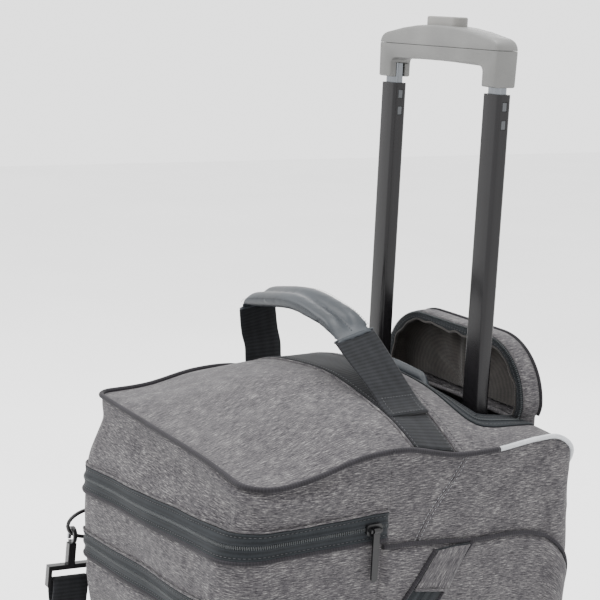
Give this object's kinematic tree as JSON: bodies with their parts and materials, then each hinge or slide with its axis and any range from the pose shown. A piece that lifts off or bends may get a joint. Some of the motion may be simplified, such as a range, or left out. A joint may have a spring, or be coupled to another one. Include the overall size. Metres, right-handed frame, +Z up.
{
  "type": "rolling laptop case",
  "caption": "Soft upright rolling case with zipped lid, padded laptop sleeve, telescopic tow handle, two wheels, carry handle and clip-on shoulder strap.",
  "frame": {"origin": "on the floor under the middle of the outer box, standing on its wheels and feet", "axes": "+Z up, the front (zipped lid and front pocket) faces -Y, +X is on the viewer's right seen from the front"},
  "size_m": [0.344, 0.4351, 0.8955],
  "materials": {
    "heather_fabric": "woven heather polyester",
    "zip_tape": "woven zip tape",
    "slider_black": "satin black",
    "piping": "covered cord",
    "webbing": "herringbone webbing",
    "handle_vinyl": "grained vinyl",
    "tube_black": "black anodised",
    "black_plastic": "moulded",
    "tube_bright": "bright anodised",
    "steel": "zinc plated",
    "grip_plastic": "satin moulded",
    "board": "hollow sheet",
    "lining_fabric": "woven lining",
    "tyre": "matte",
    "hub_plastic": "moulded"
  },
  "bodies": {
    "bag": {"body_shell": "heather_fabric", "zip_tape_body": "zip_tape", "zip_tape_pocket": "zip_tape", "front_pocket": "heather_fabric", "side_pocket_right": "heather_fabric", "side_pocket_left": "heather_fabric", "piping_body": "piping", "top_webbing": "webbing", "outer_tube_right": "tube_black", "outer_tube_left": "tube_black", "trolley_well": "black_plastic", "base_board": "board", "trolley_bracket": "black_plastic", "divider_board": "board", "laptop_sleeve": "lining_fabric", "wheel_housing_right": "black_plastic", "wheel_housing_left": "black_plastic", "axle_right": "steel", "axle_left": "steel", "foot_right": "black_plastic", "foot_left": "black_plastic", "d_ring_right": "slider_black", "d_ring_left": "slider_black", "ring_tab_right": "webbing", "ring_tab_left": "webbing"},
    "lid": {"lid_shell": "heather_fabric", "zip_tape_lid": "zip_tape", "piping_lid": "piping"},
    "main_zip_slider": {"main_slider": "slider_black"},
    "main_zip_puller": {"main_puller": "slider_black"},
    "pocket_zip_slider": {"pocket_slider": "slider_black"},
    "pocket_zip_puller": {"pocket_puller": "slider_black"},
    "carry_handle": {"handle_grip": "handle_vinyl", "handle_strap_left": "webbing", "handle_strap_right": "webbing"},
    "cover": {"trolley_cover": "heather_fabric", "zip_tape_cover": "zip_tape"},
    "tow_middle": {"middle_tube_right": "tube_black", "middle_tube_left": "tube_black", "tube_bush_right": "black_plastic", "tube_bush_left": "black_plastic"},
    "tow_grip": {"inner_tube_right": "tube_bright", "inner_tube_left": "tube_bright", "grip_lower": "grip_plastic", "grip_upper": "grip_plastic"},
    "tow_button": {"release_button": "grip_plastic", "release_yoke": "steel", "push_rod_right": "steel", "push_rod_left": "steel"},
    "wheel_right": {"tyre_right": "tyre", "hub_right": "hub_plastic"},
    "wheel_left": {"tyre_left": "tyre", "hub_left": "hub_plastic"},
    "strap": {"shoulder_strap": "webbing", "snap_hook_right": "slider_black", "snap_hook_left": "slider_black"},
    "gate_right": {"hook_gate_right": "steel"},
    "gate_left": {"hook_gate_left": "steel"}
  },
  "joints": [
    {"name": "lid_hinge", "type": "hinge", "parent": "bag", "child": "lid", "pos_m": [0, -0.021, 0.565], "axis": [-1, 0, 0], "range_deg": [0, 88]},
    {"name": "main_zip_slide", "type": "slide", "parent": "bag", "child": "main_zip_slider", "axis": [0, -1, 0], "range_m": [0, 0.07]},
    {"name": "main_puller_swing", "type": "hinge", "parent": "main_zip_slider", "child": "main_zip_puller", "pos_m": [0.1651, -0.04, 0.46518], "axis": [0, -1, 0], "range_deg": [0, 100]},
    {"name": "pocket_zip_slide", "type": "slide", "parent": "bag", "child": "pocket_zip_slider", "axis": [-0.996, 0, -0.0896], "range_m": [0, 0.15]},
    {"name": "pocket_puller_swing", "type": "hinge", "parent": "pocket_zip_slider", "child": "pocket_zip_puller", "pos_m": [0.0924, -0.1851, 0.39332], "axis": [-1, 0, 0], "range_deg": [0, 100]},
    {"name": "carry_handle_swing", "type": "hinge", "parent": "bag", "child": "carry_handle", "pos_m": [0, 0.028, 0.556], "axis": [-1, 0, 0], "range_deg": [-4, 35]},
    {"name": "cover_hinge", "type": "hinge", "parent": "bag", "child": "cover", "pos_m": [0, 0.1825, 0.52988], "axis": [-1, 0, 0], "range_deg": [0, 85]},
    {"name": "tow_middle_slide", "type": "slide", "parent": "bag", "child": "tow_middle", "axis": [0, 0, 1], "range_m": [-0.33, 0]},
    {"name": "tow_inner_slide", "type": "slide", "parent": "tow_middle", "child": "tow_grip", "axis": [0, 0, 1], "range_m": [0, 0.2]},
    {"name": "release_press", "type": "slide", "parent": "tow_grip", "child": "tow_button", "axis": [0, 0, -1], "range_m": [0, 0.004], "stiffness_N_per_m": 1500, "springref_m": -0.002},
    {"name": "wheel_right_spin", "type": "hinge", "parent": "bag", "child": "wheel_right", "pos_m": [0.122, 0.18, 0.038], "axis": [1, 0, 0], "continuous": true},
    {"name": "wheel_left_spin", "type": "hinge", "parent": "bag", "child": "wheel_left", "pos_m": [-0.122, 0.18, 0.038], "axis": [1, 0, 0], "continuous": true},
    {"name": "strap_swing", "type": "hinge", "parent": "bag", "child": "strap", "pos_m": [0, -0.177, 0.36945], "axis": [-1, 0, 0], "range_deg": [0, 60]},
    {"name": "gate_right_hinge", "type": "hinge", "parent": "strap", "child": "gate_right", "pos_m": [0.1707, -0.17741, 0.36226], "axis": [0, -0.9976, 0.0698], "range_deg": [0, 11], "stiffness_Nm_per_rad": 0.02, "springref_deg": -11.46},
    {"name": "gate_left_hinge", "type": "hinge", "parent": "strap", "child": "gate_left", "pos_m": [-0.1707, -0.17741, 0.36226], "axis": [0, 0.9976, -0.0698], "range_deg": [0, 11], "stiffness_Nm_per_rad": 0.02, "springref_deg": -11.46}
  ]
}
